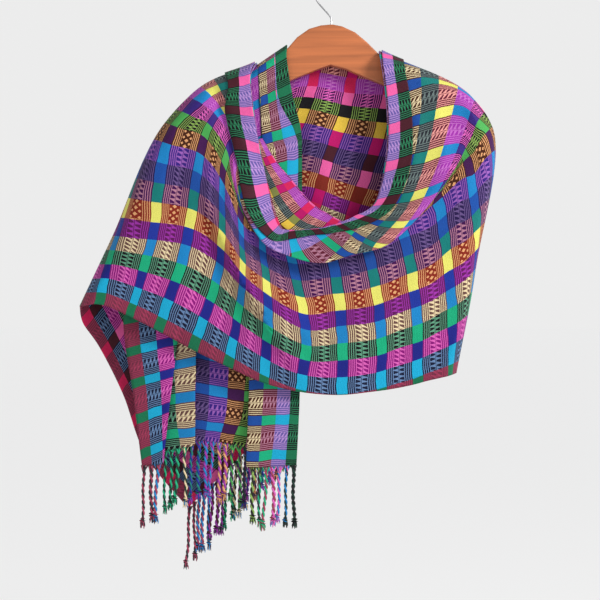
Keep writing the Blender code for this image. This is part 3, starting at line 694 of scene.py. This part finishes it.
def noise(tree, vector, dimensions="3D", **values):
    """Soft noise from 0 to 1 at a place."""
    node = add_node(tree, "ShaderNodeTexNoise", {"Vector": vector, **values},
                    noise_dimensions=dimensions)
    return Term(node.outputs["Fac"])


def weave_map(tree):
    """The map that a cloth or a strand carries, and the two numbers in it."""
    places = add_node(tree, "ShaderNodeUVMap", uv_map="weave").outputs["UV"]
    parts = add_node(tree, "ShaderNodeSeparateXYZ", {"Vector": places})
    return places, Term(parts.outputs["X"]), Term(parts.outputs["Y"])


def stripe_colours(stripe, column):
    """Colour of a stripe, from one column of STRIPES."""
    across = stripe / len(STRIPES)
    ramp = add_node(stripe.socket.id_data, "ShaderNodeValToRGB", {"Fac": across})
    ramp.color_ramp.interpolation = "CONSTANT"
    elements = ramp.color_ramp.elements
    elements.remove(elements[-1])
    for index, yarns in enumerate(STRIPES):
        element = elements[0] if index == 0 else elements.new(index / len(STRIPES))
        element.color = linear(YARNS[yarns[column]])
    return ramp.outputs["Color"]


def slanted_marks(turn, row, mark, inward):
    """Dark bars that taper inward and lean one way in each half of a turn, with a line between the
    halves. In every other row they lean more."""
    side = (turn.math("FRACT") > 0.5) * 2.0 - 1.0
    slope = side * (row.math("MODULO", 2.0) * MORE_LEAN + LEAN)
    from_mark = ((mark + inward * slope).math("FRACT") - 0.5).math("ABSOLUTE")
    bars = (from_mark < BAR_HALF - inward * BAR_TAPER) * (inward > 0.04) * (inward < 0.86)
    return bars.math("MAXIMUM", inward > 0.95)


def lozenge_marks(mark, inward):
    """Dark ground round a row of large and small lozenges."""
    beside = mark.math("PINGPONG", LOZENGE_HALF) / LOZENGE_HALF
    large = beside + (1.0 - inward) * 1.6 < 0.62
    small = (1.0 - beside) + (inward - 0.35).math("ABSOLUTE") * 2.0 < 0.5
    return 1.0 - large.math("MAXIMUM", small)


def weave_material(name, block_column, brightness):
    """Handwoven stripes crossed by solid blocks, fine weft lines and rows of small brocade marks."""
    made, tree, shader = new_material(name)
    places, turn, stripe = weave_map(tree)
    shift = (noise(tree, places, "2D", Scale=0.9, Detail=1.0) - 0.5) * UNEVENNESS
    turn = turn + shift
    stripe = stripe + shift * 0.8
    row = stripe.math("FLOOR")

    from_block = turn.math("PINGPONG", 0.5)
    in_block = from_block < BLOCK_HALF
    in_marks = from_block > MARKS_START
    in_line = ((from_block - BLOCK_HALF) / LINE_SPACING).math("FRACT") > LINE_GAP
    inward = (from_block - MARKS_START) / (0.5 - MARKS_START)
    mark = stripe * MARKS_PER_STRIPE
    first_row, last_row = LOZENGE_ROWS
    from_middle = (row - 0.5 * (first_row + last_row)).math("ABSOLUTE")
    has_lozenges = from_middle.math("COMPARE", 0.5 * (last_row - first_row))
    dark = (lozenge_marks(mark, inward) * has_lozenges
            + slanted_marks(turn, row, mark, inward) * (1.0 - has_lozenges))
    light = (1.0 - dark) * in_marks + in_line * (1.0 - in_marks)
    ground = mixed(light, stripe_colours(stripe, DARK_LINE), stripe_colours(stripe, LIGHT_LINE))
    colour = mixed(in_block, ground, stripe_colours(stripe, block_column))

    cell = add_node(tree, "ShaderNodeCombineXYZ", {"X": turn.math("ROUND"), "Y": row})
    tone = add_node(tree, "ShaderNodeTexWhiteNoise", {"Vector": cell.outputs["Vector"]},
                    noise_dimensions="2D")
    yarn = noise(tree, places, "2D", Scale=26.0, Detail=4.0)
    strength = (yarn - 0.5) * 0.45 + Term(tone.outputs["Value"]) * 0.14 + brightness
    feed_all(shader, {
        "Base Color": tinted(colour, strength),
        "Roughness": 0.86 - in_block * 0.24,
        "Sheen Weight": 0.05,
        "Sheen Roughness": 0.5,
        "Specular IOR Level": 0.2,
        "Normal": bumped(light * 0.6 + in_block * 0.4 + yarn * 0.8, 0.5, 0.0008),
    })
    return made


def yarn_material(name):
    """Twisted yarn in the stripes' colours: the map gives which ply it is and its stripe."""
    made, tree, shader = new_material(name)
    ply, stripe = weave_map(tree)[1:]
    colour = mixed(ply > 0.5, stripe_colours(stripe, FIRST_PLY), stripe_colours(stripe, SECOND_PLY))
    fibres = noise(tree, add_node(tree, "ShaderNodeTexCoord").outputs["Object"], Scale=900.0, Detail=2.0)
    feed_all(shader, {"Base Color": tinted(colour, fibres * 0.7 + 0.55), "Roughness": 0.85,
                      "Sheen Weight": 0.1})
    return made


def wood_material(name, colour, contrast):
    """Satin varnished wood with long, slightly slanting grain along the arms."""
    made, tree, shader = new_material(name)
    mapping = add_node(tree, "ShaderNodeMapping", {
        "Vector": add_node(tree, "ShaderNodeTexCoord").outputs["Object"],
        "Rotation": (0.0, math.radians(-4.0), 0.0),
        "Scale": (5.0, 22.0, 120.0),
    })
    grain = noise(tree, mapping.outputs["Vector"], Scale=1.0, Detail=6.0, Distortion=0.6)
    ramp = add_node(tree, "ShaderNodeValToRGB", {"Fac": grain})
    for index, spot, factor in ((0, 0.32, 1.0 - contrast), (1, 0.68, 1.0 + contrast)):
        element = ramp.color_ramp.elements[index]
        element.position = spot
        element.color = (*(min(1.0, channel * factor) for channel in colour), 1.0)
    feed_all(shader, {"Base Color": ramp.outputs["Color"], "Roughness": 0.42, "Coat Weight": 0.12,
                      "Coat Roughness": 0.3, "Normal": bumped(grain, 0.15, 0.0004)})
    return made


def wire_material(name, colour):
    """Dull grey drawn wire."""
    made, tree, shader = new_material(name)
    stains = noise(tree, add_node(tree, "ShaderNodeTexCoord").outputs["Object"], Scale=180.0)
    shade = mixed(stains, (*(0.75 * channel for channel in colour), 1.0), (*colour, 1.0))
    feed_all(shader, {"Base Color": shade, "Metallic": 0.9, "Roughness": 0.36})
    return made


def tube(net, layer, path, radii, sides, stripe, ply):
    """A closed tube along a path, from a grid primitive rolled up and closed at both ends."""
    rings = len(path)
    verts = bmesh.ops.create_grid(net, x_segments=sides, y_segments=rings - 1, size=1.0)["verts"]
    faces = {face for vertex in verts for face in vertex.link_faces}
    tangent = path[-1] - path[0]
    side = np.cross(tangent, (0.0, 1.0, 0.0))
    side = side / np.linalg.norm(side)
    other = np.cross(tangent / np.linalg.norm(tangent), side)
    for index, vertex in enumerate(verts):
        ring, corner = divmod(index, sides + 1)
        angle = math.tau * (corner % sides) / sides
        vertex.co = path[ring] + radii[ring] * (math.cos(angle) * side + math.sin(angle) * other)
    for face in faces:
        face.smooth = True
    bmesh.ops.remove_doubles(net, verts=verts, dist=1e-7)
    open_edges = {edge for vertex in verts if vertex.is_valid for edge in vertex.link_edges
                  if edge.is_boundary}
    caps = bmesh.ops.holes_fill(net, edges=list(open_edges), sides=sides)["faces"]
    for face in [*faces, *caps]:
        for loop in face.loops:
            loop[layer].uv = (ply, stripe)


def gathered_roots(net, layer, root, spacing, stripe, seed):
    """Loose warp threads that leave the hem side by side and run together into a strand."""
    shape = np.array(ROOT_SHAPE)
    down = np.linspace(0.0, 1.0, len(shape))
    for index in range(ROOT_THREADS):
        away = (index / (ROOT_THREADS - 1.0) - 0.5) * spacing
        path = np.repeat(root[None, :], len(shape), axis=0)
        path[:, 0] += away * (1.0 - down) ** 1.5 + 0.0006 * np.sin(5.0 * down + index + seed)
        path[:, 1] += ROOT_SWAY * np.sin(2.1 * index + seed + 3.0 * down)
        path[:, 2] += ROOT_OVERLAP - ROOT_LENGTH * down
        radii = ROOT_RADIUS * (1.0 + 0.25 * math.sin(1.7 * index + seed)) * shape
        tube(net, layer, path, radii, 4, stripe + 0.3 * (index % 3), index % 2)


def twisted_strand(net, layer, root, sway, length, stripe, seed):
    """Two plies twisted together, an overhand knot near the end and a short tuft below it."""
    settings = bpy.context.scene.shawl_fringe
    radius = 0.5 * settings.width * (1.0 + 0.14 * math.sin(1.9 * seed))
    knot = 1.0 - settings.tuft / length

    def spine(share):
        """Points down the middle of the strand."""
        return np.stack([
            root[0] + sway[0] * share ** 1.4 + 0.0009 * np.sin(8.0 * share + seed),
            root[1] + sway[1] * share ** 1.4, root[2] - length * share], axis=-1)

    share = np.linspace(0.0, knot, TWIST_RINGS)
    twist = share * length / settings.pitch * math.tau + seed
    loose = 0.58 * radius * (1.0 - 0.35 * np.exp(-((share / 0.05) ** 2)))
    wrap = np.linspace(0.0, 1.0, KNOT_RINGS)
    swell = np.sin(math.pi * wrap)
    for ply in (0, 1):
        path = spine(share)
        path[:, 0] += 0.5 * radius * np.cos(twist + math.pi * ply)
        path[:, 1] += 0.5 * radius * np.sin(twist + math.pi * ply)
        tube(net, layer, path, loose, 6, stripe + NEIGHBOUR_YARN * ply, ply)
    for ply in (0, 1):
        path = spine(knot + (wrap - 0.5) * 0.8 * settings.knot / length)
        angle = (2.6 * wrap + ply + 0.3 * seed) * math.pi
        path[:, 0] += radius * (0.40 + 0.80 * swell) * np.cos(angle)
        path[:, 1] += radius * (0.40 + 0.80 * swell) * np.sin(angle)
        tube(net, layer, path, radius * (0.42 + 0.33 * swell), 6, stripe + NEIGHBOUR_YARN * ply, ply)

    shape = radius * np.array(TUFT_SHAPE)
    reach = np.linspace(0.0, 1.0, len(shape))
    for index in range(TUFT_THREADS):
        direction = math.tau * index / TUFT_THREADS + 1.3 * seed
        fall = settings.tuft * (0.80 + 0.20 * math.sin(index * 2.3 + seed))
        path = np.repeat(spine(np.array([knot])), len(shape), axis=0)
        away = radius * (0.25 + 1.1 * np.sin(0.5 * math.pi * reach) + 0.3 * np.sin(3.0 * reach + index))
        path[:, 0] += away * math.cos(direction)
        path[:, 1] += away * math.sin(direction)
        path[:, 2] -= fall * reach
        tube(net, layer, path, shape, 4, stripe, index % 2)


def open_hem(points, stripes):
    """The hem's points and stripes without those that lie back inside a tuck."""
    kept = [0]
    for index in range(1, len(points)):
        if points[index][0] < points[kept[-1]][0] - HEM_STEP:
            kept.append(index)
    return points[kept], stripes[kept]


def fringe_piece(name, surface, node, seed, first):
    """Twisted strands hanging from a hem, from a first place along it to its other end."""
    settings = bpy.context.scene.shawl_fringe
    hem, stripes = open_hem(surface[0][-1], surface[1][-1][:, 0])
    distance = hem[0, 0] - hem[:, 0]
    net = bmesh.new()
    layer = net.loops.layers.uv.new("weave")
    for index, value in enumerate(np.linspace(first, LAST_STRAND, settings.count) * distance[-1]):
        root = np.array([np.interp(value, distance, hem[:, axis]) for axis in range(3)])
        root[2] -= HEM_STEP
        stripe = float(np.interp(value, distance, stripes))
        sway = (0.0035 * math.sin(index * 2.4 + seed) - 0.002, 0.002 * math.cos(index * 1.3))
        length = settings.length * (1.0 + 0.06 * math.sin(index * 1.7 + seed))
        gathered_roots(net, layer, root, distance[-1] / settings.count, stripe, index % 5)
        twisted_strand(net, layer, root, sway, length, stripe, index % 7 + seed)
    bmesh.ops.recalc_face_normals(net, faces=net.faces)
    return new_piece(name, net, [shared_material("twisted yarn", yarn_material)], node)


class ShawlClothSettings(PropertyGroup):
    """Sizes of the cloth."""
    wall: FloatProperty(name="Cloth wall", description="Thickness of the cloth", default=0.0014,
                        min=0.0005, max=0.003, unit="LENGTH")
    crinkle: FloatProperty(name="Crinkle", description="Height of the small puckers in the cloth",
                           default=0.0006, min=0.0, max=0.002, unit="LENGTH")
    fineness: IntProperty(name="Fineness", description="Net lines between two sections of the cloth",
                          default=11, min=2, max=16)


class ShawlFringeSettings(PropertyGroup):
    """Sizes of the fringe."""
    count: IntProperty(name="Strands", description="Strands at each end of the cloth", default=23,
                       min=4, max=60)
    length: FloatProperty(name="Strand length", description="Length of a strand with its tuft",
                          default=0.083, min=0.02, max=0.2, unit="LENGTH")
    width: FloatProperty(name="Strand width", description="Width of a twisted strand", default=0.0050,
                         min=0.001, max=0.01, unit="LENGTH")
    pitch: FloatProperty(name="Twist length", description="Length of one full twist", default=0.0155,
                         min=0.003, max=0.04, unit="LENGTH")
    knot: FloatProperty(name="Knot length", description="Length of the knot near the end",
                        default=0.009, min=0.002, max=0.03, unit="LENGTH")
    tuft: FloatProperty(name="Tuft length", description="Length of the loose threads below the knot",
                        default=0.0115, min=0.002, max=0.04, unit="LENGTH")


class HangerSettings(PropertyGroup):
    """Colours of the hanger."""
    wood: FloatVectorProperty(name="Wood colour", description="Middle colour of the varnished wood",
                              subtype="COLOR", size=3, default=(0.50, 0.145, 0.045), min=0.0, max=1.0)
    grain: FloatProperty(name="Grain contrast", description="How much the grain darkens and lightens",
                         default=0.22, min=0.0, max=0.8, subtype="FACTOR")
    wire: FloatVectorProperty(name="Wire colour", description="Colour of the hook", subtype="COLOR",
                              size=3, default=(0.34, 0.34, 0.35), min=0.0, max=1.0)


class ShawlStageSettings(PropertyGroup):
    """Sizes and light of the studio."""
    floor: FloatVectorProperty(name="Floor colour", description="Colour of the plain floor",
                               subtype="COLOR", size=3, default=(0.20, 0.20, 0.199), min=0.0, max=1.0)
    key_power: FloatProperty(name="Key power", description="Power of the large soft light in watts",
                             default=44.0, min=0.0, max=1000.0)
    fill_power: FloatProperty(name="Fill power", description="Power of the fill light in watts",
                              default=1.5, min=0.0, max=1000.0)
    sky: FloatProperty(name="Sky strength", description="Strength of the even light all round",
                       default=0.54, min=0.0, max=5.0)
    backdrop: FloatProperty(name="Backdrop", description="Brightness of the plain backdrop",
                            default=0.84, min=0.0, max=2.0)
    glow: FloatProperty(name="Floor glow", description="Light that the floor gives off by itself",
                        default=0.69, min=0.0, max=1.0)


class SHAWL_OT_hanger(Operator):
    """Give the board its wood and the hook its wire"""
    bl_idname = "shawl.hanger"
    bl_label = "Hanger"

    def execute(self, context):
        settings = context.scene.shawl_hanger
        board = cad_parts["hanger_board"]
        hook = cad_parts["hanger_hook"]
        board.data.materials.clear()
        board.data.materials.append(wood_material("varnished wood", tuple(settings.wood), settings.grain))
        hook.data.materials.clear()
        hook.data.materials.append(wire_material("drawn wire", tuple(settings.wire)))
        return {"FINISHED"}


class SHAWL_OT_back_panel(Operator):
    """Hang the stretch behind the hanger"""
    bl_idname = "shawl.back_panel"
    bl_label = "Back Panel"

    def execute(self, context):
        fine = context.scene.shawl_cloth.fineness
        along = spread(len(BACK_SECTIONS), 2 * fine, fine)
        surface = back_surface(along, np.linspace(0.0, 1.0, 110))
        piece = cloth_piece("cloth_back_panel", surface, "shawl_back_panel", "cloth_reverse")
        return {"FINISHED"}


class SHAWL_OT_front_wrap(Operator):
    """Drape the stretch across the front, with its cowl"""
    bl_idname = "shawl.front_wrap"
    bl_label = "Front Wrap"

    def execute(self, context):
        along = spread(len(FRONT_SECTIONS), context.scene.shawl_cloth.fineness, 14)
        across = stretches((0.0, 0.28, 44), (0.285, 0.42, 40), (0.43, 1.0, 76))
        surface = front_surface(along, across)
        piece = cloth_piece("cloth_front_wrap", surface, "shawl_front_wrap", "cloth")
        return {"FINISHED"}


class SHAWL_OT_collar_band(Operator):
    """Turn the neck edge over as a band"""
    bl_idname = "shawl.collar_band"
    bl_label = "Collar Band"

    def execute(self, context):
        along = spread(len(FRONT_SECTIONS), context.scene.shawl_cloth.fineness, 14)
        surface = collar_surface(along, 18)
        piece = cloth_piece("cloth_collar_band", surface, "shawl_collar_band", "cloth_reverse")
        return {"FINISHED"}


class SHAWL_OT_inner_fold(Operator):
    """Lay the fold inside the neck"""
    bl_idname = "shawl.inner_fold"
    bl_label = "Inner Fold"

    def execute(self, context):
        along = np.linspace(0.0, len(FOLD_SECTIONS) - 1.0, 90)
        surface = inner_fold_surface(along, np.linspace(0.0, 1.0, 30))
        piece = cloth_piece("cloth_inner_fold", surface, "shawl_inner_fold", "cloth_reverse")
        return {"FINISHED"}


class SHAWL_OT_first_end(Operator):
    """Hang the pleated first end and its fringe"""
    bl_idname = "shawl.first_end"
    bl_label = "First End"

    def execute(self, context):
        along = np.concatenate([np.linspace(0.0, 1.0, 14) ** 2, np.linspace(1.06, 7.0, 112)])
        across = stretches((0.0, 0.18, 28), (0.185, 0.42, 46), (0.43, 0.55, 14), (0.555, 0.70, 40),
                           (0.71, 0.79, 8), (0.795, 0.92, 34), (0.93, 1.0, 10))
        surface = first_end_surface(along, across)
        piece = cloth_piece("cloth_first_end", surface, "shawl_first_end", "cloth")
        fringe = fringe_piece("yarn_fringe_first_end", surface, "fringe_first_end", 1, 0.02)
        return {"FINISHED"}


class SHAWL_OT_second_end(Operator):
    """Hang the tail behind the left side and its fringe"""
    bl_idname = "shawl.second_end"
    bl_label = "Second End"

    def execute(self, context):
        along = np.concatenate([np.linspace(0.0, 0.95, 16) ** 2, np.linspace(1.0, 5.0, 100)])
        surface = second_end_surface(along, np.linspace(0.0, 1.0, 120))
        piece = cloth_piece("cloth_second_end", surface, "shawl_second_end", "cloth_reverse")
        fringe = fringe_piece("yarn_fringe_second_end", surface, "fringe_second_end", 2, 0.06)
        return {"FINISHED"}


class SHAWL_OT_stage(Operator):
    """Set the floor, the lights and the camera"""
    bl_idname = "shawl.stage"
    bl_label = "Stage"

    def execute(self, context):
        settings = context.scene.shawl_stage
        plain, _, shader = new_material("plain floor")
        feed_all(shader, {"Base Color": (*settings.floor, 1.0), "Roughness": 0.9,
                          "Emission Color": WHITE, "Emission Strength": settings.glow})
        net = bmesh.new()
        bmesh.ops.create_grid(net, x_segments=1, y_segments=1, size=FLOOR_HALF)
        bmesh.ops.translate(net, verts=net.verts, vec=(0.0, 0.0, CAD_BOX[0][2] - FLOOR_DROP))
        mesh = bpy.data.meshes.new("floor")
        net.to_mesh(mesh)
        net.free()
        mesh.materials.append(plain)
        floor = bpy.data.objects.new("floor", mesh)
        context.scene.collection.objects.link(floor)

        context.scene.view_settings.view_transform = "Standard"
        world = bpy.data.worlds.new("soft studio")
        world.use_nodes = True
        tree = world.node_tree
        light = tree.nodes["Background"]
        feed_all(light, {"Color": (0.97, 0.975, 0.985, 1.0), "Strength": settings.sky})
        seen = add_node(tree, "ShaderNodeBackground", {"Color": WHITE, "Strength": settings.backdrop})
        both = add_node(tree, "ShaderNodeMixShader", {
            "Fac": add_node(tree, "ShaderNodeLightPath").outputs["Is Camera Ray"],
            1: light.outputs["Background"],
            2: seen.outputs["Background"],
        })
        feed(tree.nodes["World Output"].inputs["Surface"], both.outputs["Shader"])
        context.scene.world = world
        self.add_light("key light", (1.6, -1.3, 0.6), 0.7, settings.key_power)
        self.add_light("fill light", (-1.5, -1.7, -0.3), 1.4, settings.fill_power)

        lens = bpy.data.cameras.new("camera")
        lens.sensor_width = 36.0
        lens.lens = lens.sensor_width * EYE_DISTANCE / (2.0 * GRID_MIDDLE * GRID_STEP)
        camera = bpy.data.objects.new("camera", lens)
        camera.location = (GRID_CENTRE_X, -EYE_DISTANCE, GRID_CENTRE_Z)
        camera.rotation_euler = (math.radians(90.0), 0.0, 0.0)
        context.scene.collection.objects.link(camera)
        context.scene.camera = camera
        return {"FINISHED"}

    def add_light(self, name, spot, size, power):
        """A square soft light that points at the middle of the shawl."""
        lamp = bpy.data.lights.new(name, "AREA")
        lamp.shape = "SQUARE"
        lamp.size = size
        lamp.energy = power
        light = bpy.data.objects.new(name, lamp)
        light.location = spot
        aim = np.array([GRID_CENTRE_X, 0.0, GRID_CENTRE_Z]) - np.array(spot)
        light.rotation_euler = (
            math.atan2(math.hypot(aim[0], aim[1]), -aim[2]), 0.0, math.atan2(aim[0], -aim[1]) + math.pi)
        bpy.context.scene.collection.objects.link(light)


class SHAWL_PT_panel(Panel):
    """Lists the steps that build the shawl"""
    bl_label = "Shawl"
    bl_idname = "SHAWL_PT_panel"
    bl_space_type = "VIEW_3D"
    bl_region_type = "UI"
    bl_category = "Shawl"

    def draw(self, context):
        for name in GROUPS:
            group = getattr(context.scene, name)
            box = self.layout.box()
            for key in group.bl_rna.properties.keys():
                if key not in {"rna_type", "name"}:
                    box.prop(group, key)
        for step in OPERATORS:
            self.layout.operator(step.bl_idname)


OPERATORS = (
    SHAWL_OT_hanger,
    SHAWL_OT_back_panel,
    SHAWL_OT_front_wrap,
    SHAWL_OT_collar_band,
    SHAWL_OT_inner_fold,
    SHAWL_OT_first_end,
    SHAWL_OT_second_end,
    SHAWL_OT_stage,
)
GROUPS = {
    "shawl_cloth": ShawlClothSettings,
    "shawl_fringe": ShawlFringeSettings,
    "shawl_hanger": HangerSettings,
    "shawl_stage": ShawlStageSettings,
}
CLASSES = (*GROUPS.values(), *OPERATORS, SHAWL_PT_panel)


def register():
    for made in CLASSES:
        bpy.utils.register_class(made)
    for name, group in GROUPS.items():
        setattr(bpy.types.Scene, name, PointerProperty(type=group))


def unregister():
    for name in GROUPS:
        delattr(bpy.types.Scene, name)
    for made in reversed(CLASSES):
        bpy.utils.unregister_class(made)


def main():
    register()
    bpy.ops.shawl.hanger()
    bpy.ops.shawl.back_panel()
    bpy.ops.shawl.front_wrap()
    bpy.ops.shawl.collar_band()
    bpy.ops.shawl.inner_fold()
    bpy.ops.shawl.first_end()
    bpy.ops.shawl.second_end()
    bpy.ops.shawl.stage()


if __name__ == "__main__":
    main()
